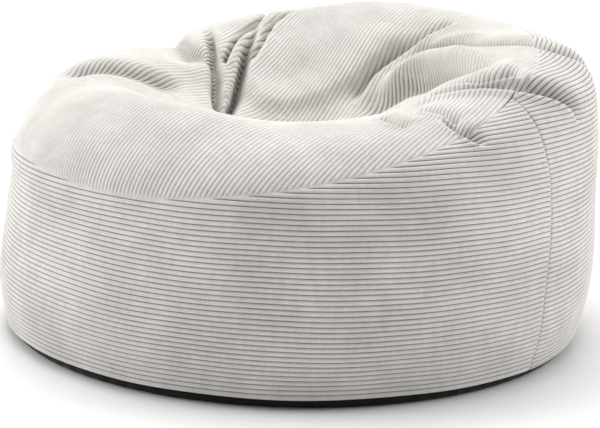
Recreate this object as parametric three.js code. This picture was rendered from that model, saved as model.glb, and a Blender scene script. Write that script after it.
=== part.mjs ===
// A large round bean bag of off-white wide-ribbed corduroy, filled with foam: a drum of a side whose ribs run
// level, a crowned top pressed in to a seat with a backrest behind it, and a black underside.
// Millimetres, +Z up, the front towards -Y. The origin is on the floor, under the middle of the bag.
import * as THREE from 'three';

// Corduroy
const RIB_PITCH = 8.3;
const RIB_HEIGHT = 1.7;
const RIB_SHARES = 2;
const RIB_STUB = 2.5;

// Seam between the top and the side, drawn in by its stitches
const SEAM_DRAW = 2;
const SEAM_REACH = 8;
const SEAM_SHELF = { share: 0.8, drop: 120, middle: 190 };
const GAP = 0.3;

// Black underside
const BASE_RADIUS = 522;
const BASE_FLAT_RADIUS = 511;
const BASE_HEIGHT = 18;
const BASE_BEND_STEPS = 4;

// Fineness of the solids: columns round the bag, crowded towards the folds at the rear left and the front
// right, and rings from the seam to the middle of the seat
const COLUMNS = 48;
const TOP_COLUMNS = 2 * COLUMNS;
const CROWDING = { azimuth: 135, swing: 12 };
const TOP_RINGS = 40;
const WIDE_RINGS = 33;
const SECTION_STEPS = 260;

// The side's profile up to the height where the sections take over, and its lean to the right
const SIDE = [
  { radius: 529, height: 18 },
  { radius: 540, height: 81 },
  { radius: 542, height: 131 },
  { radius: 539, height: 180 },
  { radius: 535, height: 230 },
  { radius: 531, height: 280 },
];
const LEAN = 16 / 280;
const SEAT_HEIGHT = 332;

// Upright sections of the bag, one for every 30 degrees of azimuth from the right, 0, by the back, 90. Each
// place is [distance from the middle, height]; seam is how far up the cloth, its girth, the top seam lies.
const SECTIONS = [
  { shoulder: [545, 380], turn: [522, 479], crest: [430, 533], brow: [320, 501], slope: [180, 400], seam: 592 },
  { shoulder: [535, 380], turn: [505, 477], crest: [410, 542], brow: [300, 508], slope: [160, 405], seam: 560 },
  { shoulder: [522, 380], turn: [470, 486], crest: [330, 561], brow: [225, 524], slope: [115, 415], seam: 490 },
  { shoulder: [515, 370], turn: [455, 464], crest: [290, 542], brow: [195, 504], slope: [100, 410], seam: 440 },
  { shoulder: [512, 360], turn: [455, 444], crest: [310, 516], brow: [215, 489], slope: [115, 405], seam: 400 },
  { shoulder: [512, 350], turn: [460, 423], crest: [345, 477], brow: [250, 467], slope: [140, 395], seam: 362 },
  { shoulder: [512, 335], turn: [470, 411], crest: [375, 467], brow: [285, 459], slope: [160, 385], seam: 335 },
  { shoulder: [515, 340], turn: [475, 403], crest: [375, 450], brow: [290, 434], slope: [160, 372], seam: 320 },
  { shoulder: [515, 335], turn: [470, 390], crest: [375, 438], brow: [290, 422], slope: [160, 364], seam: 305 },
  { shoulder: [518, 345], turn: [465, 393], crest: [375, 419], brow: [285, 414], slope: [160, 362], seam: 338 },
  { shoulder: [525, 380], turn: [480, 425], crest: [385, 440], brow: [290, 428], slope: [165, 368], seam: 412 },
  { shoulder: [540, 390], turn: [515, 465], crest: [420, 505], brow: [310, 470], slope: [175, 385], seam: 523 },
];

// One row for each main fold. Its line runs through [azimuth, girth] places on the bag. To each side of it,
// left and right as seen from outside going along, the cloth rises by a roll that is highest at wide, and it
// sinks by depth along the line over about sink; a negative depth makes a ridge. It dies away over fade at
// its two ends.
const FOLDS = [
  {
    name: 'left arm edge', depth: 27, fade: [90, 70],
    left: { rise: 0, wide: 30, sink: 16 }, right: { rise: 0, wide: 40, sink: 62 },
    line: [
      [125.5, 410], [128, 470], [130.5, 520], [133.5, 565], [138, 605], [141.3, 640], [143.5, 678],
      [147, 713],
    ],
  },
  {
    name: 'strip crease', depth: 28, fade: [60, 20],
    left: { rise: 3, wide: 11, sink: 5 }, right: { rise: 3, wide: 26, sink: 14 },
    line: [
      [127, 625], [130, 653], [133.5, 678], [136.8, 698], [142, 721], [149, 743], [160, 761], [170, 775],
      [180, 776],
    ],
  },
  {
    name: 'strip', depth: -9, fade: [40, 20],
    left: { rise: 0, wide: 20, sink: 14 }, right: { rise: 0, wide: 20, sink: 14 },
    line: [[138, 714], [142.5, 733], [149.5, 754], [160, 771]],
  },
  {
    name: 'deep valley', depth: 46, fade: [190, 20],
    left: { rise: 3, wide: 40, sink: 9 }, right: { rise: 0, wide: 20, sink: 9 },
    line: [
      [104.5, 640], [108.2, 677], [112, 700], [117.2, 720], [121.5, 735], [125.3, 751], [130.5, 767],
      [136, 777], [143.5, 785], [153, 789], [160, 791], [168, 793], [176, 795],
    ],
  },
  {
    name: 'second valley', depth: 24, fade: [140, 15],
    left: { rise: 3, wide: 12, sink: 4 }, right: { rise: 1, wide: 26, sink: 7 },
    line: [
      [99.5, 560], [100.5, 595], [101.8, 628], [104, 655], [108, 672], [112.5, 682], [118, 691], [123, 698],
      [127, 706], [130.5, 713], [134, 720], [137, 727],
    ],
  },
  {
    name: 'backrest left crease', depth: 18, fade: [30, 40],
    left: { rise: 3, wide: 12, sink: 6 }, right: { rise: 2, wide: 18, sink: 8 },
    line: [
      [92, 660], [95, 680], [99, 690], [102.5, 699], [105.8, 716], [108, 724], [110.8, 737], [115, 749],
      [120, 757], [125.8, 761],
    ],
  },
  {
    name: 'backrest right crease', depth: 14, fade: [50, 50],
    left: { rise: 4, wide: 14, sink: 6 }, right: { rise: 1, wide: 40, sink: 14 },
    line: [
      [33, 628], [32.5, 659], [33.2, 694], [34.2, 727], [36.5, 770], [38.2, 795], [40, 825], [40.5, 849],
      [39, 880], [38, 898], [37.5, 923],
    ],
  },
  {
    name: 'backrest ridge', depth: -14, fade: [60, 40],
    left: { rise: 0, wide: 30, sink: 20 }, right: { rise: 0, wide: 50, sink: 50 },
    line: [
      [39, 714], [42, 730], [43.5, 760], [44.5, 794], [46.5, 836], [49.5, 864], [53, 889], [60, 917],
      [69, 929], [87.5, 918], [108, 892], [133, 843], [144.5, 818],
    ],
  },
  {
    name: 'rear roll', depth: 17, fade: [60, 60],
    left: { rise: 2, wide: 14, sink: 8 }, right: { rise: 6, wide: 30, sink: 9 },
    line: [
      [357, 440], [354.5, 475], [350.5, 508], [347.5, 532], [347, 556], [349.5, 585], [354.5, 622],
      [359.5, 651], [364.8, 676], [369.8, 692], [376.5, 709], [383.8, 728], [388.2, 747], [391.5, 769],
    ],
  },
  {
    name: 'rear roll ridge', depth: -6, fade: [40, 40],
    left: { rise: 0, wide: 20, sink: 9 }, right: { rise: 0, wide: 20, sink: 16 },
    line: [[387.5, 735], [384.5, 712], [381.5, 697], [378, 676], [375.2, 657], [372.8, 641]],
  },
  {
    name: 'right arm roll', depth: -32, fade: [60, 170],
    left: { rise: 0, wide: 20, sink: 26 }, right: { rise: 0, wide: 20, sink: 34 },
    line: [[381.8, 873], [384, 838], [382.5, 800], [376, 765], [364.8, 738], [350, 684], [338.2, 606]],
  },
  {
    name: 'right arm valley', depth: 24, fade: [70, 60],
    left: { rise: 0, wide: 20, sink: 26 }, right: { rise: 0, wide: 20, sink: 32 },
    line: [
      [331.7, 600], [337, 660], [342.7, 710], [350, 745], [358.6, 778], [366, 802], [373, 825], [376, 860],
      [378, 900], [385, 935],
    ],
  },
  {
    name: 'right arm lip', depth: 38, fade: [90, 50],
    left: { rise: 7, wide: 12, sink: 5 }, right: { rise: 2, wide: 45, sink: 22 },
    line: [
      [334, 395], [332, 415], [330.5, 436], [327, 457], [322.5, 485], [319.2, 515], [317.2, 540],
      [315, 559], [313, 580], [310.5, 597], [306.5, 604], [303, 600],
    ],
  },
  {
    name: 'right arm upper lip', depth: 32, fade: [30, 40],
    left: { rise: 5, wide: 9, sink: 5 }, right: { rise: 4, wide: 50, sink: 24 },
    line: [
      [328, 525], [326, 544], [323.8, 549], [321.5, 572], [320.8, 603], [319.5, 632], [316.5, 642],
      [311, 636],
    ],
  },
  {
    name: 'right arm pocket', depth: 17, fade: [90, 60],
    left: { rise: 0, wide: 20, sink: 13 }, right: { rise: 2, wide: 45, sink: 17 },
    line: [
      [335, 418], [332.8, 436], [330.8, 451], [328.8, 471], [326.8, 490], [325, 508], [324, 526],
      [323.2, 551],
    ],
  },
  {
    name: 'front right pleat', depth: 17, fade: [40, 30],
    left: { rise: 4, wide: 9, sink: 6 }, right: { rise: 2, wide: 30, sink: 16 },
    line: [
      [307.2, 397], [305, 405], [304, 412], [303.5, 419], [302.6, 431], [302.2, 441], [302.2, 460],
      [303, 486],
    ],
  },
  {
    name: 'pleat ridge', depth: 13, fade: [15, 30],
    left: { rise: 4, wide: 8, sink: 5 }, right: { rise: 2, wide: 28, sink: 14 },
    line: [[305, 456], [304.5, 467], [304, 488], [303.5, 509], [303.2, 533], [302.2, 553]],
  },
  {
    name: 'rim pocket', depth: 14, fade: [20, 20],
    left: { rise: 4, wide: 9, sink: 7 }, right: { rise: 4, wide: 26, sink: 16 },
    line: [[294.5, 469], [293.2, 501], [293.2, 522], [293, 544], [292.2, 560]],
  },
  {
    name: 'left arm fold', depth: 24, fade: [60, 60],
    left: { rise: 1, wide: 60, sink: 17 }, right: { rise: -14, wide: 90, sink: 40 },
    line: [
      [183, 440], [182.8, 468], [182.3, 515], [182.2, 555], [182, 577], [181.6, 599], [181, 622],
      [179.5, 645], [177.5, 671], [175.5, 696], [174, 712],
    ],
  },
  {
    name: 'left arm wrinkle', depth: 4, fade: [40, 50],
    left: { rise: 0, wide: 20, sink: 22 }, right: { rise: 1, wide: 14, sink: 6 },
    line: [[205, 500], [213, 520], [222, 545], [232, 560]],
  },
];
const FOLD_STEP = 12;
const FOLD_REACH = 3;
const FOLD_FINEST = 18;

const CORDUROY = new THREE.MeshStandardMaterial({ color: 0xdedad3, roughness: 0.95, metalness: 0 });
const BLACK_CLOTH = new THREE.MeshStandardMaterial({ color: 0x141414, roughness: 0.9, metalness: 0 });

const radians = THREE.MathUtils.degToRad;

/** A smooth curve's value a share f of the way from b to c, with a and d as its neighbours. */
function smoothed(a, b, c, d, f) {
  return b + 0.5 * f * (c - a + f * (2 * a - 5 * b + 4 * c - d + f * (3 * (b - c) + d - a)));
}

/** A value of the sections at any azimuth, smooth all the way round. */
function around(azimuth, valueOf) {
  const place = THREE.MathUtils.euclideanModulo(azimuth, 360) / (360 / SECTIONS.length);
  const row = Math.floor(place);
  const rowAt = (n) => SECTIONS[THREE.MathUtils.euclideanModulo(n, SECTIONS.length)];
  const near = [-1, 0, 1, 2].map((k) => valueOf(rowAt(row + k)));
  return smoothed(...near, place - row);
}

/** The places that a section passes through, from the lower edge to the middle of the seat, with one
 *  beyond each end. */
function placesOf(azimuth) {
  const lean = LEAN * Math.cos(radians(azimuth));
  const places = SIDE.map((p) => new THREE.Vector2(p.radius + lean * p.height, p.height));
  const named = ['shoulder', 'turn', 'crest', 'brow', 'slope'];
  const through = (name, az) => new THREE.Vector2(...[0, 1].map((n) => around(az, (s) => s[name][n])));
  named.forEach((name) => places.push(through(name, azimuth)));
  places.push(new THREE.Vector2(0, SEAT_HEIGHT));
  const below = places[0].clone().multiplyScalar(2).sub(places[1]);
  const beyond = through('slope', azimuth + 180);
  beyond.x = -beyond.x;
  return [below, ...places, beyond];
}

/** The curve's knots, shared by all the sections: spaced by the square root of the mean stretch. */
const KNOTS = (() => {
  const all = SECTIONS.map((s, n) => placesOf((360 * n) / SECTIONS.length));
  const knots = [0];
  for (let i = 1; i < all[0].length; i += 1) {
    const stretch = all.reduce((sum, places) => sum + Math.sqrt(places[i].distanceTo(places[i - 1])), 0);
    knots.push(knots[i - 1] + stretch / all.length);
  }
  return knots;
})();

/** A section's curve at a knot value, by repeated mixing between its places. */
function onSection(places, t) {
  let i = 1;
  while (i < places.length - 3 && t > KNOTS[i + 1]) i += 1;
  const mix = (a, b, from, to) => a.clone().lerp(b, (t - from) / (to - from));
  const k = [-1, 0, 1, 2].map((n) => KNOTS[i + n]);
  const a = [0, 1, 2].map((n) => mix(places[i + n - 1], places[i + n], k[n], k[n + 1]));
  const b = [mix(a[0], a[1], k[0], k[2]), mix(a[1], a[2], k[1], k[3])];
  return mix(b[0], b[1], k[1], k[2]);
}

const sectionCache = new Map();

/** A section as closely spaced points with the length of cloth, or girth, up to each. */
function sectionAt(azimuth) {
  if (!sectionCache.has(azimuth)) {
    const places = placesOf(azimuth);
    const first = KNOTS[1];
    const last = KNOTS[KNOTS.length - 2];
    const points = [];
    const girths = [0];
    for (let n = 0; n <= SECTION_STEPS; n += 1) {
      points.push(onSection(places, first + ((last - first) * n) / SECTION_STEPS));
      if (n) girths.push(girths[n - 1] + points[n].distanceTo(points[n - 1]));
    }
    sectionCache.set(azimuth, { points, girths, whole: girths[SECTION_STEPS] });
  }
  return sectionCache.get(azimuth);
}

/** A point of the plain form, before its folds. */
function formPoint(azimuth, girth) {
  const { points, girths } = sectionAt(azimuth);
  let n = 1;
  while (n < SECTION_STEPS && girths[n] < girth) n += 1;
  const share = (girth - girths[n - 1]) / (girths[n] - girths[n - 1]);
  const place = points[n - 1].clone().lerp(points[n], share);
  const angle = radians(azimuth);
  return new THREE.Vector3(place.x * Math.cos(angle), place.x * Math.sin(angle), place.y);
}

/** The plain form's outward normal. */
function formNormal(azimuth, girth) {
  const round = formPoint(azimuth + 0.5, girth).sub(formPoint(azimuth - 0.5, girth));
  const up = formPoint(azimuth, girth + 2).sub(formPoint(azimuth, girth - 2));
  return round.cross(up).normalize();
}

/** How far up the cloth the top seam lies. */
const seamGirth = (azimuth) => around(azimuth, (s) => s.seam);

/** A fold's line through its places, in short straight steps on the form. */
function foldSteps(fold) {
  const p = fold.line;
  const beyond = (end, near) => end.map((value, axis) => 2 * value - near[axis]);
  const q = [beyond(p[0], p[1]), ...p, beyond(p.at(-1), p.at(-2))];
  const path = [];
  for (let i = 1; i < q.length - 2; i += 1) {
    const steps = Math.max(2, Math.round(formPoint(...q[i]).distanceTo(formPoint(...q[i + 1])) / FOLD_STEP));
    for (let n = 0; n < steps; n += 1) {
      const along = (axis) => smoothed(q[i - 1][axis], q[i][axis], q[i + 1][axis], q[i + 2][axis], n / steps);
      path.push(formPoint(along(0), along(1)));
    }
  }
  path.push(formPoint(...p.at(-1)));
  const arc = [0];
  for (let i = 1; i < path.length; i += 1) arc.push(arc[i - 1] + path[i].distanceTo(path[i - 1]));
  const widths = [fold.left.wide, fold.left.sink, fold.right.wide, fold.right.sink, FOLD_FINEST];
  const box = new THREE.Box3().setFromPoints(path).expandByScalar(FOLD_REACH * Math.max(...widths));
  return { ...fold, path, arc, box };
}

const FOLD_PATHS = FOLDS.map(foldSteps);

/** A fold's height at a distance to one side of its line. The solids carry nothing finer than FOLD_FINEST. */
function foldHeight(distance, flank, depth) {
  const x = distance / Math.max(flank.wide, FOLD_FINEST);
  const y = distance / Math.max(flank.sink, FOLD_FINEST);
  return flank.rise * x * x * Math.exp(1 - x * x) - depth * Math.exp(-y * y);
}

/** How far one fold raises or sinks the cloth at a point of the plain form. */
function foldOffset(point, normal, fold) {
  if (!fold.box.containsPoint(point)) return 0;
  let nearest = Infinity;
  let along = 0;
  let side = 1;
  for (let i = 0; i + 1 < fold.path.length; i += 1) {
    const step = fold.path[i + 1].clone().sub(fold.path[i]);
    const from = point.clone().sub(fold.path[i]);
    const share = THREE.MathUtils.clamp(from.dot(step) / step.lengthSq(), 0, 1);
    const away = from.addScaledVector(step, -share);
    if (away.length() < nearest) {
      nearest = away.length();
      along = fold.arc[i] + share * step.length();
      side = away.dot(normal.clone().cross(step));
    }
  }
  const { smoothstep } = THREE.MathUtils;
  const fade = smoothstep(along, 0, fold.fade[0]) * smoothstep(fold.arc.at(-1) - along, 0, fold.fade[1]);
  return fade * foldHeight(nearest, side > 0 ? fold.left : fold.right, fold.depth);
}

/** A point of the cloth: the form with its folds, its drawn-in seam, and raised a little more if asked. */
function clothPoint(azimuth, girth, raised = 0) {
  const point = formPoint(azimuth, girth);
  const normal = formNormal(azimuth, girth);
  const folds = FOLD_PATHS.reduce((sum, fold) => sum + foldOffset(point, normal, fold), 0);
  const drawn = SEAM_DRAW * Math.exp(-(((girth - seamGirth(azimuth)) / SEAM_REACH) ** 2));
  return point.addScaledVector(normal, folds - drawn + raised);
}

/** The azimuth of a column out of a count of them. */
function columnAzimuth(column, count) {
  const turn = (360 * column) / count;
  return turn - CROWDING.swing * Math.sin(radians(2 * (turn - CROWDING.azimuth)));
}

/** Collects points and triangles for one closed body. */
class Body {
  constructor() {
    this.points = [];
    this.faces = [];
  }

  add(point) {
    this.points.push(point);
    return this.points.length - 1;
  }

  face(a, b, c) {
    if (a !== b && b !== c && c !== a) this.faces.push(a, b, c);
  }

  apart(a, b) {
    return this.points[a].distanceTo(this.points[b]);
  }

  /** Joins two rings, the second with as many points as the first or half as many. Quarters are split along
   *  their shorter diagonal, which follows the folds. */
  band(lower, upper) {
    const ratio = lower.length / upper.length;
    for (let j = 0; j < upper.length; j += 1) {
      const next = (j + 1) % upper.length;
      const from = j * ratio;
      if (ratio === 2) {
        this.face(lower[from], lower[from + 1], upper[j]);
        this.face(lower[from + 1], upper[next], upper[j]);
        this.face(lower[from + 1], lower[(from + 2) % lower.length], upper[next]);
      } else if (this.apart(lower[from], upper[next]) < this.apart(lower[next], upper[j])) {
        this.face(lower[from], lower[next], upper[next]);
        this.face(lower[from], upper[next], upper[j]);
      } else {
        this.face(lower[from], lower[next], upper[j]);
        this.face(lower[next], upper[next], upper[j]);
      }
    }
  }

  /** Closes a ring on a middle point, facing up, or down if asked. */
  close(ring, middle, down = false) {
    ring.forEach((here, j) => {
      const next = ring[(j + 1) % ring.length];
      if (down) this.face(next, here, middle);
      else this.face(here, next, middle);
    });
  }

  mesh(name, material) {
    const geometry = new THREE.BufferGeometry();
    const places = this.points.flatMap((p) => p.toArray());
    geometry.setAttribute('position', new THREE.Float32BufferAttribute(places, 3));
    geometry.setIndex(this.faces);
    geometry.computeVertexNormals();
    const mesh = new THREE.Mesh(geometry, material);
    mesh.name = name;
    return mesh;
  }
}

/** The shelf inside the bag where the filled top rests on the filled side: one ring and a middle point. */
function shelf(body, seamRing, lift, down) {
  const ring = seamRing.map((index) => {
    const p = body.points[index];
    const { share, drop } = SEAM_SHELF;
    return body.add(new THREE.Vector3(p.x * share, p.y * share, p.z - drop));
  });
  const middle = body.add(new THREE.Vector3(0, 0, SEAM_SHELF.middle + lift));
  return { ring, middle };
}

/** The side: level ribs up to the seam, which cuts them off as it rises to the right. */
function sideBand() {
  const body = new Body();
  const rowStep = RIB_PITCH / RIB_SHARES;
  const columns = [];
  for (let j = 0; j < COLUMNS; j += 1) {
    const azimuth = columnAzimuth(j, COLUMNS);
    const top = seamGirth(azimuth);
    const column = [];
    for (let row = 0; row * rowStep < top - RIB_STUB; row += 1) {
      column.push(body.add(clothPoint(azimuth, row * rowStep, row % RIB_SHARES ? RIB_HEIGHT : 0)));
    }
    column.push(body.add(clothPoint(azimuth, top)));
    columns.push(column);
  }
  const rows = Math.max(...columns.map((column) => column.length));
  const ring = (row) => columns.map((column) => column[Math.min(row, column.length - 1)]);
  for (let row = 0; row + 1 < rows; row += 1) body.band(ring(row), ring(row + 1));
  const foot = body.add(new THREE.Vector3(0, 0, SIDE[0].height));
  body.close(ring(0), foot, true);
  const seam = ring(rows);
  const inner = shelf(body, seam, 0);
  inner.ring.forEach((here, j) => {
    const next = (j + 1) % COLUMNS;
    body.face(seam[j], seam[next], inner.ring[next]);
    body.face(seam[j], inner.ring[next], here);
  });
  body.close(inner.ring, inner.middle);
  return body.mesh('side_band', CORDUROY);
}

/** The top: from the seam over the arms and the backrest down to the middle of the seat. */
function topPanel() {
  const body = new Body();
  const lift = new THREE.Vector3(0, 0, GAP);
  const ringAt = (share, count) => Array.from({ length: count }, (_, j) => {
    const azimuth = columnAzimuth(j, count);
    const seam = seamGirth(azimuth);
    return body.add(clothPoint(azimuth, seam + share * (sectionAt(azimuth).whole - seam)).add(lift));
  });
  const evenSeam = ringAt(0, COLUMNS);
  const seamRing = evenSeam.flatMap((here, j) => {
    const next = evenSeam[(j + 1) % COLUMNS];
    return [here, body.add(body.points[here].clone().lerp(body.points[next], 0.5))];
  });
  let lower = seamRing;
  for (let i = 1; i < TOP_RINGS; i += 1) {
    const count = i < WIDE_RINGS ? TOP_COLUMNS : COLUMNS;
    const upper = ringAt(i / TOP_RINGS, count);
    body.band(lower, upper);
    lower = upper;
  }
  body.close(lower, body.add(new THREE.Vector3(0, 0, SEAT_HEIGHT + GAP)));
  const inner = shelf(body, evenSeam, GAP);
  inner.ring.forEach((here, j) => {
    const next = (j + 1) % COLUMNS;
    body.face(inner.ring[next], seamRing[2 * j], here);
    body.face(inner.ring[next], seamRing[2 * j + 1], seamRing[2 * j]);
    body.face(inner.ring[next], seamRing[(2 * j + 2) % TOP_COLUMNS], seamRing[2 * j + 1]);
  });
  body.close(inner.ring, inner.middle, true);
  return body.mesh('top_panel', CORDUROY);
}

/** The black underside: flat on the floor, its edge turned up to the side's lower seam. */
function basePanel() {
  const bend = BASE_RADIUS - BASE_FLAT_RADIUS;
  const top = BASE_HEIGHT - GAP;
  const profile = [new THREE.Vector2(0, 0)];
  for (let n = 0; n <= BASE_BEND_STEPS; n += 1) {
    const angle = (Math.PI / 2) * (n / BASE_BEND_STEPS);
    profile.push(new THREE.Vector2(BASE_FLAT_RADIUS + bend * Math.sin(angle), top * (1 - Math.cos(angle))));
  }
  profile.push(new THREE.Vector2(0, top));
  const geometry = new THREE.LatheGeometry(profile, COLUMNS);
  geometry.rotateX(Math.PI / 2);
  const mesh = new THREE.Mesh(geometry, BLACK_CLOTH);
  mesh.name = 'base_panel';
  return mesh;
}

const beanBag = new THREE.Group();
beanBag.add(basePanel(), sideBand(), topPanel());

export default beanBag;
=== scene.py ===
"""A large round bean bag of off-white wide-ribbed corduroy, filled with foam, on a black cloth base.

Sizes are in millimetres until a mesh is made. Azimuth turns from the right, +X, towards the back, +Y.
Girth is the length of cloth from the lower edge of the side up to a point.
"""
import math
from typing import NamedTuple

import bpy
import numpy as np
from mathutils import Matrix, Vector


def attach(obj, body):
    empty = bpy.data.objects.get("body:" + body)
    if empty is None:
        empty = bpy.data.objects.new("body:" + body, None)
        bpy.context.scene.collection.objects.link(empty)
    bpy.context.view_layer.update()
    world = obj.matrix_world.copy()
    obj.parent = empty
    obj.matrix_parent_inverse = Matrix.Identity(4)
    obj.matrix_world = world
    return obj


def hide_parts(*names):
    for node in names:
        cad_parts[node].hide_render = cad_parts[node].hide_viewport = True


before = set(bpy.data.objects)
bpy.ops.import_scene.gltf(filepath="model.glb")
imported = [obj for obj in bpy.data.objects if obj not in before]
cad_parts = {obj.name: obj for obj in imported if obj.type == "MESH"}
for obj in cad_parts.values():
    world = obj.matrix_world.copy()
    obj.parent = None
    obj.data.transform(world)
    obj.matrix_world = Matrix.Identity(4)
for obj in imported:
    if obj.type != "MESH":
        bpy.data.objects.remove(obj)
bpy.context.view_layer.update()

MM = 0.001

# Corduroy ribs: their spacing, and the rows of each by share of the spacing and share of the height
SIDE_RIB_PITCH = 8.3
TOP_RIB_PITCH = 8.2
TOP_RIB_TURN = 52.0
RIB_HEIGHT = 1.9
RIB_ROWS = ((0.0, 0.0), (0.15, 0.8), (0.5, 1.0), (0.85, 0.8))
# How far each piece's grooves go to the groove colour: the ground between the ribs and painted shade, the
# painted shade stronger on the side, whose level ribs are lit from above
GROOVE_GROUND_AND_SHADE = {"top": 0.5, "side": 1.0}

# Deep folds: painted shade along their lines; from what depth on and how near the line it is painted, and how
# # much darker it paints the grooves and the pile there
FOLD_SHADE_DEPTH = 26.0
FOLD_SHADE_REACH = 24.0
FOLD_SHADE_GROOVES = 0.75
FOLD_SHADE_PILE = 0.34

# Seams: how deep and how wide they draw the cloth in, where the ribs begin to flatten, and to what share
SEAM_DRAW = 0.5
SEAM_REACH = 3.0
SEAM_FADE = 3.0
SEAM_LEVEL = 0.6
SEAM_TUCK = 7.0
INNER_MIDDLE = {"top": 90.5, "side": 90.0}

# Fineness: columns along the ribs, with more of them near the folds
TOP_COLUMNS = 330
SIDE_COLUMNS = 440
FOLD_CARE = 1.8
FOLD_CARE_REACH = 45.0
CARE_PATH_STEP = 3
TOP_CARE_COLUMNS = 120
SIDE_CARE_COLUMNS = 361
SIDE_CARE_GIRTHS = (150, 560, 30)

# The side's profile up to the height where the sections take over, its lean to the right, the seat's height
SIDE = ((529, 18), (540, 81), (542, 131), (539, 180), (535, 230), (531, 280))
LEAN = 16 / 280
SEAT_HEIGHT = 332

# Upright sections of the bag, one for every 30 degrees of azimuth: distance from the middle and height of
# five places, and the girth at which the top seam lies
SECTION_PLACES = ("shoulder", "turn", "crest", "brow", "slope")
SECTIONS = (
    (545, 380, 522, 479, 430, 533, 320, 501, 180, 400, 592),
    (535, 380, 505, 477, 410, 542, 300, 508, 160, 405, 560),
    (522, 380, 470, 486, 330, 561, 225, 524, 115, 415, 490),
    (515, 370, 455, 464, 290, 542, 195, 504, 100, 410, 440),
    (512, 360, 455, 444, 310, 516, 215, 489, 115, 405, 400),
    (512, 350, 460, 423, 345, 477, 250, 467, 140, 395, 362),
    (512, 335, 470, 411, 375, 467, 285, 459, 160, 385, 335),
    (515, 340, 475, 403, 375, 450, 290, 434, 160, 372, 320),
    (515, 335, 470, 390, 375, 438, 290, 422, 160, 364, 305),
    (518, 345, 465, 393, 375, 419, 285, 414, 160, 362, 338),
    (525, 380, 480, 425, 385, 440, 290, 428, 165, 368, 412),
    (540, 390, 515, 465, 420, 505, 310, 470, 175, 385, 523),
)
SEAM_COLUMN = 2 * len(SECTION_PLACES)

# The one upright seam of the side: its azimuth at each height
UPRIGHT_SEAM = (
    (29, -41.0), (62, -40.7), (144, -40.4), (226, -39.3), (286, -38.8), (347, -39.2), (382, -40.4),
    (418, -41.3), (444, -41.8), (467, -41.5),
)
UPRIGHT_SEAM_COLUMNS = ((0.6, 0.3), (1.7, 0.85), (4.0, 1.0))
UPRIGHT_SEAM_DRAW = 1.5
UPRIGHT_SEAM_SLIP = 3.4
UPRIGHT_SEAM_SHARE = 0.25
UPRIGHT_SEAM_BEND_REACH = 16
UPRIGHT_SEAM_CALM = 4

# The sheets' edges: how near an outline the last row of ribs may lie, how far each half of the top reaches
# past the middle so that both have its row, and over what width the ribs' course stops wandering
OUTLINE_STEP = 0.25
TOP_MARGIN = 1.5
HALF_OVERLAP = 0.1
SIDE_MARGINS = {"lower": 1.5, "upper": 1.0, "slip": 1}
SIDE_GIRTH_MOST = 600
WANDER_FADE = {"top": 60, "side": 40}


class Flank(NamedTuple):
    """One side of a fold: its rise, how far from the line that is highest, and how wide the fold sinks."""

    rise: float
    wide: float
    sink: float


class Fold(NamedTuple):
    """A fold along a line of points on the bag. Left is on the left hand, seen from outside, going along."""

    name: str
    left: Flank
    right: Flank
    depth: float
    fade: tuple
    line: tuple


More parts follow.
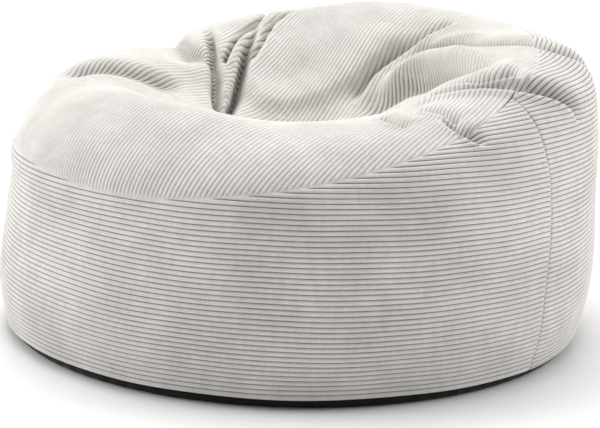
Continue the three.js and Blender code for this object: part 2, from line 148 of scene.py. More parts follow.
FOLDS = (
    Fold("left arm edge", Flank(0, 30, 16), Flank(0, 40, 62), 27, (90, 70), (
        (125.5, 410), (128, 470), (130.5, 520), (133.5, 565), (138, 605), (141.3, 640), (143.5, 678),
        (147, 713),
    )),
    Fold("strip crease", Flank(3, 11, 5), Flank(3, 26, 14), 28, (60, 20), (
        (127, 625), (130, 653), (133.5, 678), (136.8, 698), (142, 721), (149, 743), (160, 761), (170, 775),
        (180, 776),
    )),
    Fold("strip", Flank(0, 20, 14), Flank(0, 20, 14), -9, (40, 20), (
        (138, 714), (142.5, 733), (149.5, 754), (160, 771),
    )),
    Fold("deep valley", Flank(3, 40, 9), Flank(0, 20, 9), 46, (190, 20), (
        (104.5, 640), (108.2, 677), (112, 700), (117.2, 720), (121.5, 735), (125.3, 751), (130.5, 767),
        (136, 777), (143.5, 785), (153, 789), (160, 791), (168, 793), (176, 795),
    )),
    Fold("second valley", Flank(3, 12, 4), Flank(1, 26, 7), 24, (140, 15), (
        (99.5, 560), (100.5, 595), (101.8, 628), (104, 655), (108, 672), (112.5, 682), (118, 691),
        (123, 698), (127, 706), (130.5, 713), (134, 720), (137, 727),
    )),
    Fold("backrest left crease", Flank(3, 12, 6), Flank(2, 18, 8), 18, (30, 40), (
        (92, 660), (95, 680), (99, 690), (102.5, 699), (105.8, 716), (108, 724), (110.8, 737), (115, 749),
        (120, 757), (125.8, 761),
    )),
    Fold("backrest right crease", Flank(4, 14, 6), Flank(1, 40, 14), 14, (50, 50), (
        (33, 628), (32.5, 659), (33.2, 694), (34.2, 727), (36.5, 770), (38.2, 795), (40, 825), (40.5, 849),
        (39, 880), (38, 898), (37.5, 923),
    )),
    Fold("backrest ridge", Flank(0, 30, 20), Flank(0, 50, 50), -14, (60, 40), (
        (39, 714), (42, 730), (43.5, 760), (44.5, 794), (46.5, 836), (49.5, 864), (53, 889), (60, 917),
        (69, 929), (87.5, 918), (108, 892), (133, 843), (144.5, 818),
    )),
    Fold("rear roll", Flank(2, 14, 8), Flank(6, 30, 9), 17, (60, 60), (
        (357, 440), (354.5, 475), (350.5, 508), (347.5, 532), (347, 556), (349.5, 585), (354.5, 622),
        (359.5, 651), (364.8, 676), (369.8, 692), (376.5, 709), (383.8, 728), (388.2, 747), (391.5, 769),
    )),
    Fold("rear roll ridge", Flank(0, 20, 9), Flank(0, 20, 16), -6, (40, 40), (
        (387.5, 735), (384.5, 712), (381.5, 697), (378, 676), (375.2, 657), (372.8, 641),
    )),
    Fold("right arm roll", Flank(0, 20, 26), Flank(0, 20, 34), -32, (60, 170), (
        (381.8, 873), (384, 838), (382.5, 800), (376, 765), (364.8, 738), (350, 684), (338.2, 606),
    )),
    Fold("right arm valley", Flank(0, 20, 26), Flank(0, 20, 32), 24, (70, 60), (
        (331.7, 600), (337, 660), (342.7, 710), (350, 745), (358.6, 778), (366, 802), (373, 825),
        (376, 860), (378, 900), (385, 935),
    )),
    Fold("right arm lip", Flank(7, 12, 5), Flank(2, 45, 22), 38, (90, 50), (
        (334, 395), (332, 415), (330.5, 436), (327, 457), (322.5, 485), (319.2, 515), (317.2, 540),
        (315, 559), (313, 580), (310.5, 597), (306.5, 604), (303, 600),
    )),
    Fold("right arm upper lip", Flank(5, 9, 5), Flank(4, 50, 24), 32, (30, 40), (
        (328, 525), (326, 544), (323.8, 549), (321.5, 572), (320.8, 603), (319.5, 632), (316.5, 642),
        (311, 636),
    )),
    Fold("right arm pocket", Flank(0, 20, 13), Flank(2, 45, 17), 17, (90, 60), (
        (335, 418), (332.8, 436), (330.8, 451), (328.8, 471), (326.8, 490), (325, 508), (324, 526),
        (323.2, 551),
    )),
    Fold("front right pleat", Flank(4, 9, 6), Flank(2, 30, 16), 17, (40, 30), (
        (307.2, 397), (305, 405), (304, 412), (303.5, 419), (302.6, 431), (302.2, 441), (302.2, 460),
        (303, 486),
    )),
    Fold("pleat ridge", Flank(4, 8, 5), Flank(2, 28, 14), 13, (15, 30), (
        (305, 456), (304.5, 467), (304, 488), (303.5, 509), (303.2, 533), (302.2, 553),
    )),
    Fold("rim pocket", Flank(4, 9, 7), Flank(4, 26, 16), 14, (20, 20), (
        (294.5, 469), (293.2, 501), (293.2, 522), (293, 544), (292.2, 560),
    )),
    Fold("left arm fold", Flank(1, 60, 17), Flank(-14, 90, 40), 24, (60, 60), (
        (183, 440), (182.8, 468), (182.3, 515), (182.2, 555), (182, 577), (181.6, 599), (181, 622),
        (179.5, 645), (177.5, 671), (175.5, 696), (174, 712),
    )),
    Fold("left arm wrinkle", Flank(0, 20, 22), Flank(1, 14, 6), 4, (40, 50), (
        (205, 500), (213, 520), (222, 545), (232, 560),
    )),
)
FOLD_STEP = 12.0
FOLD_REACH = 3.0

# Slight unevenness of the filling, and of the ribs' course and height: waves of seeded direction and phase
UNEVEN = {"seed": 4, "waves": 14, "lengths": (140.0, 420.0), "height": 1.1}
WANDER = {"seed": 9, "waves": 12, "lengths": (110.0, 380.0), "height": 0.55}
RIB_CHANGE = {"seed": 12, "waves": 16, "lengths": (30.0, 160.0), "height": 0.045}

# Black base: flat on the floor, its edge turned up to the side's lower seam in small gathers
BASE_RADIUS = 522.0
BASE_FLAT_RADIUS = 511.0
BASE_HEIGHT = 17.7
BASE_COLUMNS = 480
BASE_GATHERS = 96
BASE_GATHER_DEPTH = 1.2
BASE_GATHER_DRIFT = {"swing": 1.3, "waves": 7}
BASE_GATHER_CHANGE = {"middle": 0.6, "swing": 0.4, "waves": 5}
BASE_RINGS = (0.4, 0.8, 0.95)
BASE_BEND_STEPS = 9
BASE_TUCK = 4

# Camera: where it stands and looks, in metres and degrees
CAMERA_DISTANCE = 3.0
CAMERA_ELEVATION = 13.23
CAMERA_ROLL = 1.53
CAMERA_TARGET = Vector((0.011, 0.0, 0.193))
CAMERA_LENS = 96.8
CAMERA_SENSOR = 36.0

# Floor, in metres, and the room's light: FLOOR_GLOW is reached between two distances from the middle, and the
# room goes from its front strength to the rest between two values of how far a direction points backward
FLOOR_RADIUS = 14.0
FLOOR_CORNERS = 96
FLOOR_GLOW = 0.38
FLOOR_GLOW_REACH = (0.62, 1.6)
ROOM_FRONT = 0.0
ROOM_REST = 1.04
ROOM_TURN = (-0.9, 0.4)


class Light(NamedTuple):
    """A soft square light: where it stands and how wide it is, in metres, and its power in watts."""

    name: str
    place: tuple
    size: float
    energy: float


LIGHTS = (
    Light("light_over", (-0.3, 0.2, 3.0), 1.8, 49),
    Light("light_left", (-3.0, -0.3, 1.6), 1.8, 34),
    Light("light_right", (3.0, -0.1, 1.5), 1.6, 32),
)
LIGHT_AIM = (0, 0, 0.3)

# Colours, darkest and lightest, of the ribs' pile, of the grooves' ground with painted shade, also used for
# the painted shade in deep folds, and of the black base
PILE_COLOURS = ((0.565, 0.538, 0.504, 1), (0.85, 0.826, 0.792, 1))
GROUND_AND_SHADE_COLOURS = ((0.17, 0.158, 0.145, 1), (0.30, 0.285, 0.262, 1))
BLACK_COLOURS = ((0.006, 0.006, 0.006, 1), (0.018, 0.018, 0.019, 1))
GROOVE_EDGE = (0.1, 0.85)

# Noise: the scale of each kind over the bag or, with two measures, along and across the cloth
NAP_SCALE = 9.0
FIBRE_SCALE = 1500.0
BRUSHED_SCALE = (70.0, 22.0, 1.0)
STREAK_SCALE = (160.0, 420.0, 1.0)
TUFT_SCALE = (520.0, 260.0, 1.0)
THREAD_SCALE = 1100.0
DUST_SCALE = 30.0


def smoothed(a, b, c, d, share):
    """A smooth curve's value a share of the way from b to c, with a and d as its neighbours."""
    return b + 0.5 * share * (c - a + share * (2 * a - 5 * b + 4 * c - d + share * (3 * (b - c) + d - a)))


def smoothstep(x):
    x = np.clip(x, 0, 1)
    return x * x * (3 - 2 * x)


def unit(vectors):
    return vectors / (np.linalg.norm(vectors, axis=-1, keepdims=True) + 1e-12)


def waves(points, seed, waves, lengths, height):
    """Soft seeded unevenness at points of any number of dimensions."""
    draw = np.random.default_rng(seed)
    total = np.zeros(points.shape[:-1])
    for _ in range(waves):
        direction = unit(draw.normal(size=points.shape[-1]))
        length = draw.uniform(*lengths)
        total += np.sin(points @ direction * (2 * math.pi / length) + draw.uniform(0, 2 * math.pi))
    return total * height / math.sqrt(waves / 2)


def around(azimuth, column):
    """A column of the sections at any azimuth, smooth all the way round."""
    table = np.array(SECTIONS, float)[:, column]
    place = np.mod(azimuth, 360) / (360 / len(table))
    row = np.floor(place).astype(int)
    near = [table[(row + k) % len(table)] for k in (-1, 0, 1, 2)]
    return smoothed(*near, place - row)


def seam_girth(azimuth):
    return around(azimuth, SEAM_COLUMN)


def places_of(azimuth):
    """The places that a section passes through, lower edge to middle of the seat, and one beyond each end."""
    lean = LEAN * np.cos(np.radians(azimuth))
    places = []
    for radius, height in SIDE:
        places.append(np.stack([radius + lean * height, np.full_like(azimuth, height)], -1))
    for n in range(len(SECTION_PLACES)):
        places.append(np.stack([around(azimuth, 2 * n), around(azimuth, 2 * n + 1)], -1))
    places.append(np.stack([np.zeros_like(azimuth), np.full_like(azimuth, SEAT_HEIGHT)], -1))
    below = 2 * places[0] - places[1]
    last = 2 * len(SECTION_PLACES) - 2
    beyond = np.stack([-around(azimuth + 180, last), around(azimuth + 180, last + 1)], -1)
    return np.stack([below, *places, beyond])


class FoldPath:
    """A fold's line as short straight steps, ready to be measured from any point."""

    def __init__(self, form, fold):
        self.fold = fold
        p = np.array(fold.line, float)
        q = np.array([2 * p[0] - p[1], *p, 2 * p[-1] - p[-2]])
        places = form.plain(*p.T)[0]
        line = []
        for i in range(1, len(q) - 2):
            steps = max(2, round(np.linalg.norm(places[i] - places[i - 1]) / FOLD_STEP))
            share = np.linspace(0, 1, steps, endpoint=False)[:, None]
            line.append(smoothed(q[i - 1], q[i], q[i + 1], q[i + 2], share))
        self.path = form.plain(*np.concatenate([*line, p[-1:]]).T)[0]
        self.arc = np.concatenate([[0], np.cumsum(np.linalg.norm(np.diff(self.path, axis=0), axis=1))])
        self.reach = FOLD_REACH * max(*fold.left[1:], *fold.right[1:])

    def offset(self, points, normals):
        """How far this fold raises the cloth at points of the plain form, and its weight of painted shade."""
        raised = np.zeros(len(points))
        pressed = np.zeros(len(points))
        low = self.path.min(0) - self.reach
        high = self.path.max(0) + self.reach
        inside = np.all((points > low) & (points < high), -1)
        p, n = points[inside], normals[inside]
        nearest = np.full(len(p), np.inf)
        along = np.zeros(len(p))
        side = np.ones(len(p))
        for start, end, arc in zip(self.path, self.path[1:], self.arc):
            step = end - start
            share = np.clip((p - start) @ step / (step @ step), 0, 1)
            away = p - start - share[:, None] * step
            distance = np.linalg.norm(away, axis=1)
            closer = distance < nearest
            nearest[closer] = distance[closer]
            along[closer] = arc + share[closer] * np.linalg.norm(step)
            side[closer] = np.einsum("ij,ij->i", away[closer], np.cross(n[closer], step))
        fold = self.fold
        fade = smoothstep(along / fold.fade[0]) * smoothstep((self.arc[-1] - along) / fold.fade[1])
        flank = np.where((side > 0)[:, None], fold.left, fold.right)
        x = nearest / flank[:, 1]
        roll = flank[:, 0] * x * x * np.exp(1 - x * x)
        raised[inside] = fade * (roll - fold.depth * np.exp(-((nearest / flank[:, 2]) ** 2)))
        # Painted shade along the fold's line, stronger the deeper the fold
        near_line = np.exp(-((nearest / np.minimum(flank[:, 2], FOLD_SHADE_REACH)) ** 2))
        pressed[inside] = fade * max(fold.depth, 0) * near_line
        return raised, pressed


class Form:
    """The bag's plain form as a table over azimuth and share of the girth, and its cloth with folds."""

    AZIMUTHS = 1440
    GIRTHS = 700

    def __init__(self):
        rows = places_of(np.arange(len(SECTIONS)) * 360.0 / len(SECTIONS))
        stretch = np.sqrt(np.linalg.norm(np.diff(rows, axis=0), axis=-1)).mean(-1)
        knots = np.concatenate([[0], np.cumsum(stretch)])
        azimuth = np.arange(self.AZIMUTHS) * 360 / self.AZIMUTHS
        places = places_of(azimuth)
        t = np.linspace(knots[1], knots[-2], 2 * self.GIRTHS)
        i = np.clip(np.searchsorted(knots, t, side="right") - 1, 1, len(knots) - 3)
        k = [knots[i + n] for n in (-1, 0, 1, 2)]
        p = [places[i + n] for n in (-1, 0, 1, 2)]

        def mix(a, b, low, high):
            share = ((t - low) / (high - low))[:, None, None]
            return a * (1 - share) + b * share

        a = [mix(p[n], p[n + 1], k[n], k[n + 1]) for n in range(3)]
        b = [mix(a[0], a[1], k[0], k[2]), mix(a[1], a[2], k[1], k[3])]
        curve = mix(b[0], b[1], k[1], k[2])
        step = np.linalg.norm(np.diff(curve, axis=0), axis=-1)
        girth = np.concatenate([np.zeros((1, self.AZIMUTHS)), np.cumsum(step, 0)])
        self.whole = girth[-1]
        self.points = np.empty((self.AZIMUTHS, self.GIRTHS, 3))
        for j, angle in enumerate(np.radians(azimuth)):
            wanted = np.linspace(0, self.whole[j], self.GIRTHS)
            radius = np.interp(wanted, girth[:, j], curve[:, j, 0])
            height = np.interp(wanted, girth[:, j], curve[:, j, 1])
            self.points[j] = np.stack([radius * math.cos(angle), radius * math.sin(angle), height], -1)
        turn = np.roll(self.points, -1, 0) - np.roll(self.points, 1, 0)
        normals = np.cross(turn, np.gradient(self.points, axis=1))
        normals[:, -1] = (0, 0, 1)
        self.normals = unit(normals)
        self.folds = [FoldPath(self, fold) for fold in FOLDS]

    def whole_girth(self, azimuth):
        steps = np.arange(self.AZIMUTHS + 1) * 360 / self.AZIMUTHS
        return np.interp(np.mod(azimuth, 360), steps, np.append(self.whole, self.whole[0]))

    def look_up(self, table, azimuth, girth):
        up = np.clip(girth / self.whole_girth(azimuth), 0, 1) * (self.GIRTHS - 1)
        turn = np.mod(azimuth, 360) / 360 * self.AZIMUTHS
        i = np.minimum(up.astype(int), self.GIRTHS - 2)
        j = turn.astype(int) % self.AZIMUTHS
        near = (j + 1) % self.AZIMUTHS
        f = (up - i)[..., None]
        g = (turn - np.floor(turn))[..., None]
        here = table[j, i] * (1 - f) + table[j, i + 1] * f
        there = table[near, i] * (1 - f) + table[near, i + 1] * f
        return here * (1 - g) + there * g

    def girth_at_height(self, azimuth, height):
        """The girth where the side first reaches a height."""
        girth = np.linspace(0, SIDE_GIRTH_MOST, SIDE_GIRTH_MOST + 1)
        heights = self.look_up(self.points, np.full_like(girth, azimuth), girth)[:, 2]
        return float(np.interp(height, np.maximum.accumulate(heights), girth))

    def plain(self, azimuth, girth):
        return self.look_up(self.points, azimuth, girth), unit(self.look_up(self.normals, azimuth, girth))

    def cloth(self, azimuth, girth):
        """The cloth without its ribs, with its folds, unevenness and drawn-in seam, and its painted shade in
        deep folds.
        """
        points, normals = self.plain(azimuth, girth)
        flat_points = points.reshape(-1, 3)
        flat_normals = normals.reshape(-1, 3)
        offsets = [path.offset(flat_points, flat_normals) for path in self.folds]
        raised, pressed = (sum(parts).reshape(girth.shape) for parts in zip(*offsets))
        raised += waves(points, **UNEVEN)
        raised -= SEAM_DRAW * np.exp(-(((girth - seam_girth(azimuth)) / SEAM_REACH) ** 2))
        return points + normals * raised[..., None], pressed

    def care(self, points):
        """1 beside a fold's line, where the mesh is finest, and 0 far from all of them."""
        nearest = np.full(points.shape[:-1], np.inf)
        for path in self.folds:
            for place in path.path[::CARE_PATH_STEP]:
                nearest = np.minimum(nearest, np.linalg.norm(points - place, axis=-1))
        return np.exp(-((nearest / FOLD_CARE_REACH) ** 2))


def pile_and_painted_shade(rise, from_seam, darkness, pressed):
    """Pile share, 1 on a rib to 0 in a groove of ground and painted shade; painted shade also in deep folds.
    """
    pressed = smoothstep(pressed / FOLD_SHADE_DEPTH)
    grooves = darkness + FOLD_SHADE_GROOVES * pressed
    return (1 - (1 - rise) * from_seam * grooves) * (1 - FOLD_SHADE_PILE * pressed)


def sheet_normals(points):
    return unit(np.cross(np.gradient(points, axis=1), np.gradient(points, axis=0)))


def rib_rows(first, last, pitch):
    """The rows of ribs between two girths, and the share of the rib's height at each."""
    places, rises = [], []
    for n in range(math.floor(first / pitch), math.ceil(last / pitch) + 1):
        for share, rise in RIB_ROWS:
            place = (n + share) * pitch
            if first < place < last:
                places.append(place)
                rises.append(rise)
    return np.array(places), np.array(rises)


def spread(weights, count):
    """Shares from 0 to 1 that lie closer together where the weights are greater."""
    total = np.concatenate([[0], np.cumsum((weights[1:] + weights[:-1]) / 2)])
    return np.interp(np.linspace(0, total[-1], count), total, np.linspace(0, 1, len(weights)))


class Sheet:
    """A grid of cloth points with their pile share and painted shade, and the cloth's own coordinates, on its
    way to a mesh.
    """

    def __init__(self, points, shade, along, across, index, wrapped):
        self.points = points.reshape(-1, 3)
        self.shade = shade.reshape(-1)
        self.weave = np.stack([along.reshape(-1), across.reshape(-1), np.zeros(shade.size)], -1) * MM
        if wrapped:
            index = np.concatenate([index, index[:, :1]], 1)
        corners = np.stack([index[:-1, :-1], index[:-1, 1:], index[1:, 1:], index[1:, :-1]], -1)
        self.faces = []
        for corner in corners.reshape(-1, 4).tolist():
            face = list(dict.fromkeys(corner))
            if len(face) > 2:
                self.faces.append(face)

    def close(self, loop, centre):
        """Tucks an edge loop in and closes it on a point inside the bag. The loop runs with the cloth outside
        on its left."""
        loop = list(dict.fromkeys(loop))
        edge = self.points[loop]
        tucked = edge + unit(np.array(centre) - edge) * SEAM_TUCK
        first = len(self.points)
        ring = list(range(first, first + len(loop)))
        self.points = np.concatenate([self.points, tucked, [centre]])
        self.shade = np.concatenate([self.shade, np.ones(len(loop) + 1)])
        self.weave = np.concatenate([self.weave, self.weave[loop], self.weave[loop[:1]]])
        middle = first + len(loop)
        for n, here in enumerate(loop):
            after = (n + 1) % len(loop)
            self.faces.append([here, loop[after], ring[after], ring[n]])
            self.faces.append([ring[n], ring[after], middle])
        return [(here, loop[(n + 1) % len(loop)]) for n, here in enumerate(loop)]


def top_sheet(form, half):
    """Half of the top: the front one for -1, the back one for 1. The top is a flat round cut, its ribs
    parallel, laid over the bag from the middle of the seat out to the seam."""
    azimuth = np.arange(0, 360, OUTLINE_STEP)
    radius = form.whole_girth(azimuth) - seam_girth(azimuth)
    turn = np.radians(azimuth - TOP_RIB_TURN)
    a, b = radius * np.cos(turn), radius * np.sin(turn)
    if half < 0:
        low, high = b.min() + TOP_MARGIN, HALF_OVERLAP
    else:
        low, high = -HALF_OVERLAP, b.max() - TOP_MARGIN
    rows, rise = rib_rows(low, high, TOP_RIB_PITCH)
    ends = []
    for side in (np.cos(turn) < 0, np.cos(turn) > 0):
        order = np.argsort(b[side])
        ends.append(np.interp(rows, b[side][order], a[side][order])[:, None])

    def polar(along, across):
        azimuth = np.degrees(np.arctan2(across, along)) + TOP_RIB_TURN
        return azimuth, form.whole_girth(azimuth) - np.hypot(along, across)

    coarse = np.linspace(0, 1, TOP_CARE_COLUMNS)
    across = np.repeat(rows[:, None], len(coarse), 1)
    trial = polar(ends[0] + (ends[1] - ends[0]) * coarse, across)
    care = 1 + FOLD_CARE * form.care(form.plain(*trial)[0])
    share = np.array([spread(row, TOP_COLUMNS) for row in care])
    along = ends[0] + (ends[1] - ends[0]) * share
    across = np.repeat(rows[:, None], TOP_COLUMNS, 1)
    azimuth, girth = polar(along, across)
    from_seam = smoothstep((girth - seam_girth(azimuth)) / SEAM_FADE)
    flat = np.stack([along, across], -1)
    wander = waves(flat, **WANDER) * smoothstep((girth - seam_girth(azimuth)) / WANDER_FADE["top"])
    azimuth, girth = polar(along, across + wander)
    smooth, pressed = form.cloth(azimuth, girth)
    rib = rise[:, None] * from_seam + SEAM_LEVEL * (1 - from_seam)
    height = RIB_HEIGHT * (1 + waves(flat, **RIB_CHANGE))
    points = smooth + sheet_normals(smooth) * (rib * height)[..., None]
    index = np.arange(points.shape[0] * TOP_COLUMNS).reshape(-1, TOP_COLUMNS)
    # Pile share with painted shade in the grooves and in deep folds
    shade = pile_and_painted_shade(rise[:, None], from_seam, GROOVE_GROUND_AND_SHADE["top"], pressed)
    sheet = Sheet(points, shade, along, across, index, wrapped=False)
    loop = [*index[0, ::-1], *index[1:, 0], *index[-1, 1:], *index[-2:0:-1, -1]]
    sharp = sheet.close([int(n) for n in loop], (0.0, 0.0, INNER_MIDDLE["top"]))
    return sheet, sharp


def side_sheet(form):
    """The side: one length of cloth with level ribs, its ends joined in the upright seam, cut along its
    upper edge where the top is sewn on."""
    seam = np.array([(form.girth_at_height(azimuth, height), azimuth) for height, azimuth in UPRIGHT_SEAM])
    reference = seam[:, 1].max()
    lips = np.array([np.degrees(distance / SIDE[0][0]) for distance, _ in UPRIGHT_SEAM_COLUMNS])
    coarse = np.linspace(lips[-1], 360 - lips[-1], SIDE_CARE_COLUMNS)
    girths = np.linspace(*SIDE_CARE_GIRTHS)[:, None]
    care = form.care(form.plain(reference + coarse + 0 * girths, girths + 0 * coarse)[0]).max(0)
    inner = SIDE_COLUMNS - 2 * len(lips) + 2
    middle = coarse[0] + spread(1 + FOLD_CARE * care, inner) * (coarse[-1] - coarse[0])
    offset = np.concatenate([lips[:-1], middle, 360 - lips[-2::-1]])
    at_seam = np.ones(SIDE_COLUMNS)
    for n, (_, height) in enumerate(UPRIGHT_SEAM_COLUMNS):
        at_seam[[n, -1 - n]] = height
    drawn = np.zeros(SIDE_COLUMNS)
    drawn[[0, -1]] = UPRIGHT_SEAM_DRAW
    drawn[[1, -2]] = UPRIGHT_SEAM_DRAW * UPRIGHT_SEAM_SHARE

    rows, rise = rib_rows(-UPRIGHT_SEAM_SLIP - SIDE_MARGINS["slip"], SIDE_GIRTH_MOST, SIDE_RIB_PITCH)
    slip = UPRIGHT_SEAM_SLIP * (1 - offset / 360)
    girth = rows[:, None] + slip
    near = np.minimum(offset, 360 - offset)
    bend = np.interp(girth, seam[:, 0], seam[:, 1]) - reference
    azimuth = reference + offset + bend * np.exp(-((near / UPRIGHT_SEAM_BEND_REACH) ** 2))
    top = seam_girth(azimuth)
    flat = np.stack([np.radians(offset) * SIDE[0][0] + 0 * girth, girth], -1)
    inside = smoothstep(girth / WANDER_FADE["side"]) * smoothstep((top - girth) / WANDER_FADE["side"])
    wander = waves(flat, **WANDER) * inside * smoothstep(near / UPRIGHT_SEAM_CALM)
    smooth, pressed = form.cloth(azimuth, np.clip(girth + wander, 0, None))
    normals = sheet_normals(np.concatenate([smooth[:, -2:-1], smooth, smooth[:, 1:2]], 1))[:, 1:-1]
    normals[:, [0, -1]] = normals[:, [1, -2]]
    from_seam = smoothstep((top - girth) / SEAM_FADE) * smoothstep(girth / SEAM_FADE)
    rib = (rise[:, None] * from_seam + SEAM_LEVEL * (1 - from_seam)) * at_seam
    height = RIB_HEIGHT * (1 + waves(flat, **RIB_CHANGE))
    points = smooth + normals * (rib * height - drawn)[..., None]
    # Pile share with painted shade in the grooves and in deep folds
    shade = pile_and_painted_shade(rise[:, None], from_seam, GROOVE_GROUND_AND_SHADE["side"], pressed)

    index = np.arange(girth.size).reshape(girth.shape)
    for j in range(SIDE_COLUMNS):
        first = int(np.searchsorted(girth[:, j], SIDE_MARGINS["lower"])) - 1
        last = int(np.argmax(girth[:, j] > top[:, j] - SIDE_MARGINS["upper"]))
        for row, wanted in ((first, 0.0), (last, top[last, j])):
            place = form.cloth(azimuth[row:row + 1, j], np.array([wanted]))[0][0]
            points[row, j] = place + normals[row, j] * (SEAM_LEVEL * RIB_HEIGHT * at_seam[j] - drawn[j])
            shade[row, j] = 1
        index[:first, j] = index[first, j]
        index[last:, j] = index[last, j]
    sheet = Sheet(points, shade, flat[..., 0], flat[..., 1], index, wrapped=True)
    sharp = sheet.close([int(n) for n in index[-1, ::-1]], (0.0, 0.0, INNER_MIDDLE["side"]))
    sharp += sheet.close([int(n) for n in index[0]], (0.0, 0.0, SIDE[0][1]))
    return sheet, sharp


def base_sheet():
    """The black base: flat underneath, its turned-up edge gathered a little by the seam."""
    azimuth = np.radians(np.arange(BASE_COLUMNS) * 360 / BASE_COLUMNS)
    bend = BASE_RADIUS - BASE_FLAT_RADIUS
    rows = [(BASE_FLAT_RADIUS * share, 0.0, 0.0) for share in BASE_RINGS]
    for angle in np.linspace(0, math.pi / 2, BASE_BEND_STEPS):
        radius = BASE_FLAT_RADIUS + bend * math.sin(angle)
        rows.append((radius, BASE_HEIGHT * (1 - math.cos(angle)), math.sin(angle)))
    drift = BASE_GATHER_DRIFT["swing"] * np.sin(azimuth * BASE_GATHER_DRIFT["waves"])
    change = BASE_GATHER_CHANGE["swing"] * np.sin(azimuth * BASE_GATHER_CHANGE["waves"])
    gather = np.sin(azimuth * BASE_GATHERS + drift) * (BASE_GATHER_CHANGE["middle"] + change)
    points = []
    for radius, height, share in rows:
        ring = radius + BASE_GATHER_DEPTH * share * gather
        level = np.full_like(ring, height)
        points.append(np.stack([ring * np.cos(azimuth), ring * np.sin(azimuth), level], -1))
    points = np.array(points)
    index = np.arange(points.shape[0] * BASE_COLUMNS).reshape(-1, BASE_COLUMNS)
    along = azimuth * BASE_RADIUS + 0 * points[..., 0]
    sheet = Sheet(points, np.ones(points.shape[:2]), along, points[..., 2], index, wrapped=True)
    sharp = sheet.close([int(n) for n in index[-1, ::-1]], (0.0, 0.0, BASE_HEIGHT - BASE_TUCK))
    sheet.close([int(n) for n in index[0]], (0.0, 0.0, 0.0))
    return sheet, sharp


def piece(name, sheet, sharp, material):
    """A mesh object of a sheet, in metres, smooth but for its sewn edges."""
    mesh = bpy.data.meshes.new(name)
    mesh.from_pydata((sheet.points * MM).tolist(), [], sheet.faces)
    mesh.polygons.foreach_set("use_smooth", [True] * len(mesh.polygons))
    # The rib attribute: pile share with the painted shade of grooves and deep folds
    mesh.attributes.new("rib", "FLOAT", "POINT").data.foreach_set("value", sheet.shade.astype(np.float32))
    weave = mesh.attributes.new("weave", "FLOAT_VECTOR", "POINT")
    weave.data.foreach_set("vector", sheet.weave.astype(np.float32).ravel())
    edges = np.empty(2 * len(mesh.edges), np.int32)
    mesh.edges.foreach_get("vertices", edges)
    ends = {tuple(sorted(pair)) for pair in sharp}
    flags = [tuple(sorted(pair)) in ends for pair in edges.reshape(-1, 2).tolist()]
    mesh.attributes.new("sharp_edge", "BOOLEAN", "EDGE").data.foreach_set("value", flags)
    mesh.materials.append(material)
    mesh.update()
    thing = bpy.data.objects.new(name, mesh)
    bpy.context.scene.collection.objects.link(thing)
    return thing


class Value:
    """A socket that takes part in Python expressions, which add its Math nodes."""

    def __init__(self, nodes, socket):
        self.nodes = nodes
        self.socket = socket

    def __add__(self, other):
        return self.nodes.math("ADD", self, other)

    def __sub__(self, other):
        return self.nodes.math("SUBTRACT", self, other)

    def __rsub__(self, other):
        return self.nodes.math("SUBTRACT", other, self)

    def __mul__(self, other):
        return self.nodes.math("MULTIPLY", self, other)

    __radd__ = __add__
    __rmul__ = __mul__


class Outputs:
    """A node's outputs by name, as values."""

    def __init__(self, nodes, node):
        self.nodes = nodes
        self.node = node

    def __getitem__(self, name):
        found = [s for s in self.node.outputs if s.name == name and s.enabled]
        return Value(self.nodes, found[0])


class Nodes:
    """A node tree, and one way to add any node to it."""

    def __init__(self, tree):
        self.tree = tree

    def node(self, kind, settings=None, values=None):
        """Adds a node: its settings first, then the values or links of its sockets, by name or number."""
        node = self.tree.nodes.new(kind)
        for name, setting in (settings or {}).items():
            setattr(node, name, setting)
        for name, value in (values or {}).items():
            sockets = [s for s in node.inputs if s.enabled]
            socket = sockets[name] if isinstance(name, int) else next(s for s in sockets if s.name == name)
            if isinstance(value, Value):
                self.tree.links.new(value.socket, socket)
            else:
                socket.default_value = value
        return Outputs(self, node)

    def math(self, operation, *values):
        return self.node("ShaderNodeMath", {"operation": operation}, dict(enumerate(values)))["Value"]

    def noise(self, vector, scale, detail=2.0, roughness=0.5):
        values = {"Vector": vector, "Scale": scale, "Detail": detail, "Roughness": roughness}
        return self.node("ShaderNodeTexNoise", None, values)["Fac"]

    def stretch(self, vector, factors):
        return self.node("ShaderNodeVectorMath", {"operation": "MULTIPLY"}, {0: vector, 1: factors})["Vector"]

    def spread(self, value, low, high, out_low=0.0, out_high=1.0):
        """Spreads the range from low to high over another one, and stays within it."""
        values = {"Value": value, "From Min": low, "From Max": high, "To Min": out_low, "To Max": out_high}
        return self.node("ShaderNodeMapRange", None, values)["Result"]

    def mix(self, share, a, b):
        values = {"Factor": share, "A": a, "B": b}
        return self.node("ShaderNodeMix", {"data_type": "RGBA"}, values)["Result"]


class Shader(Nodes):
    """A material with a Principled shader."""

    def __init__(self, name, **constants):
        self.material = bpy.data.materials.new(name)
        self.material.use_nodes = True
        super().__init__(self.material.node_tree)
        self.surface = self.tree.nodes["Principled BSDF"]
        for socket, value in constants.items():
            self.surface.inputs[socket.replace("_", " ")].default_value = value

    def attribute(self, name, output):
        return self.node("ShaderNodeAttribute", {"attribute_name": name})[output]

    def drive(self, name, value):
        self.tree.links.new(value.socket, self.surface.inputs[name])

    def bump(self, height, distance, strength):
        values = {"Height": height, "Distance": distance, "Strength": strength}
        self.drive("Normal", self.node("ShaderNodeBump", None, values)["Normal"])


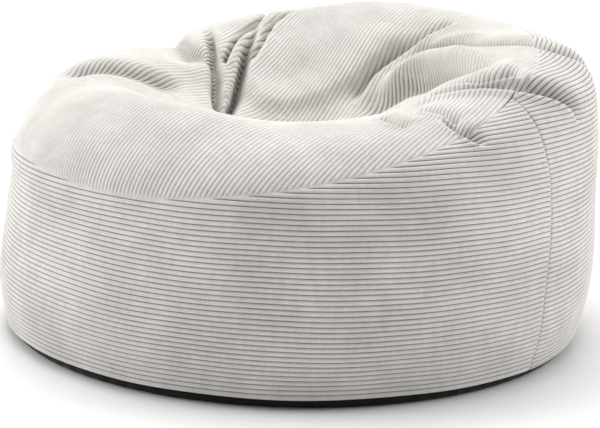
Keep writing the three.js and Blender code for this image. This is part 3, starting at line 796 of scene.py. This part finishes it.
def corduroy():
    """Short brushed pile: light ribs, darker grooves partly of painted shade, painted shade in deep folds,
    and patches where the nap lies otherwise.
    """
    s = Shader("corduroy", Roughness=0.92, Sheen_Weight=0.1, Sheen_Roughness=0.5)
    s.surface.inputs["Specular IOR Level"].default_value = 0.15
    place = s.node("ShaderNodeTexCoord")["Object"]
    weave = s.attribute("weave", "Vector")
    rib = s.attribute("rib", "Fac")
    nap = s.noise(place, NAP_SCALE, 5.0, 0.62)
    brushed = s.noise(s.stretch(weave, BRUSHED_SCALE), 1.0, 3.0, 0.6)
    streaks = s.noise(s.stretch(weave, STREAK_SCALE), 1.0, 3.0, 0.6)
    fibres = s.noise(place, FIBRE_SCALE, 2.0)
    patches = s.spread(nap, 0.36, 0.64) * 0.36 + s.spread(brushed, 0.3, 0.7) * 0.2
    light = patches + s.spread(streaks, 0.28, 0.72) * 0.32 + fibres * 0.12
    pile = s.mix(light, *PILE_COLOURS)
    # The groove colour: the ground between the ribs darkened further with painted shade
    ground = s.mix(light, *GROUND_AND_SHADE_COLOURS)
    on_rib = s.spread(rib, *GROOVE_EDGE)
    s.drive("Base Color", s.mix(on_rib, ground, pile))
    tufts = s.noise(s.stretch(weave, TUFT_SCALE), 1.0, 2.0, 0.6)
    s.bump(tufts * 0.6 + fibres * 0.4, 0.0008, 0.35)
    return s.material


def black_cloth():
    """Plain black woven cloth."""
    s = Shader("black_cloth", Roughness=0.85, Sheen_Weight=0.1)
    s.surface.inputs["Specular IOR Level"].default_value = 0.2
    place = s.node("ShaderNodeTexCoord")["Object"]
    threads = s.noise(place, THREAD_SCALE, 2.0)
    dust = s.noise(place, DUST_SCALE, 3.0)
    shade = s.spread(threads * 0.6 + dust * 0.4, 0.3, 0.7)
    s.drive("Base Color", s.mix(shade, *BLACK_COLOURS))
    s.bump(threads, 0.0006, 0.4)
    return s.material


def floor():
    """A plain pale floor, far larger than the view, that glows a little away from the bag: painted light."""
    turns = [2 * math.pi * n / FLOOR_CORNERS for n in range(FLOOR_CORNERS)]
    ring = [(FLOOR_RADIUS * math.cos(turn), FLOOR_RADIUS * math.sin(turn), 0.0) for turn in turns]
    mesh = bpy.data.meshes.new("floor")
    mesh.from_pydata(ring, [], [list(range(FLOOR_CORNERS))])
    paint = Shader("floor_paint_and_glow", Base_Color=(0.93, 0.93, 0.93, 1), Roughness=0.8, Emission_Strength=1.0)
    place = paint.node("ShaderNodeTexCoord")["Object"]
    distance = paint.node("ShaderNodeVectorMath", {"operation": "LENGTH"}, {0: place})["Value"]
    # Painted glow that brightens the floor away from the bag
    paint.drive("Emission Color", paint.spread(distance, *FLOOR_GLOW_REACH, 0.0, FLOOR_GLOW))
    mesh.materials.append(paint.material)
    thing = bpy.data.objects.new("floor", mesh)
    bpy.context.scene.collection.objects.link(thing)
    return thing


def camera():
    """The camera at the height, distance and slight roll from which the bag is seen."""
    elevation = math.radians(CAMERA_ELEVATION)
    roll = math.radians(CAMERA_ROLL)
    back = Vector((0, -math.cos(elevation), math.sin(elevation)))
    level = Vector((1, 0, 0))
    upright = back.cross(level)
    right = math.cos(roll) * level + math.sin(roll) * upright
    up = back.cross(right)
    data = bpy.data.cameras.new("camera")
    data.lens = CAMERA_LENS
    data.sensor_width = CAMERA_SENSOR
    thing = bpy.data.objects.new("camera", data)
    turn = Matrix((right, up, back)).transposed().to_4x4()
    thing.matrix_world = Matrix.Translation(CAMERA_TARGET + back * CAMERA_DISTANCE) @ turn
    bpy.context.scene.collection.objects.link(thing)
    bpy.context.scene.camera = thing


def soft_light(light):
    data = bpy.data.lights.new(light.name, "AREA")
    data.energy = light.energy
    data.size = light.size
    thing = bpy.data.objects.new(light.name, data)
    thing.location = light.place
    thing.rotation_euler = (Vector(LIGHT_AIM) - Vector(light.place)).to_track_quat("-Z", "Y").to_euler()
    bpy.context.scene.collection.objects.link(thing)


def studio():
    """A white room, dimmer towards the front, with large soft lights over the bag and at both sides."""
    for light in LIGHTS:
        soft_light(light)
    world = bpy.data.worlds.new("white_room")
    world.use_nodes = True
    room = Nodes(world.node_tree)
    direction = room.node("ShaderNodeTexCoord")["Generated"]
    backward = room.node("ShaderNodeSeparateXYZ", None, {"Vector": direction})["Y"]
    strength = room.spread(backward, *ROOM_TURN, ROOM_FRONT, ROOM_REST)
    background = room.tree.nodes["Background"]
    background.inputs["Color"].default_value = (1, 1, 1, 1)
    room.tree.links.new(strength.socket, background.inputs["Strength"])
    bpy.context.scene.world = world
    bpy.context.scene.view_settings.view_transform = "Standard"


def bean_bag():
    form = Form()
    cord_cloth = corduroy()
    pieces = [
        (piece("top_cloth_front", *top_sheet(form, -1), cord_cloth), "top_panel", "corduroy"),
        (piece("top_cloth_back", *top_sheet(form, 1), cord_cloth), "top_panel", "corduroy"),
        (piece("side_cloth", *side_sheet(form), cord_cloth), "side_band", "corduroy"),
        (piece("base_cloth", *base_sheet(), black_cloth()), "base_panel", "black_cloth"),
    ]
    for thing, node, slot in pieces:
        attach(thing, "root")
        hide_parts(node)


camera()
studio()
floor()
bean_bag()
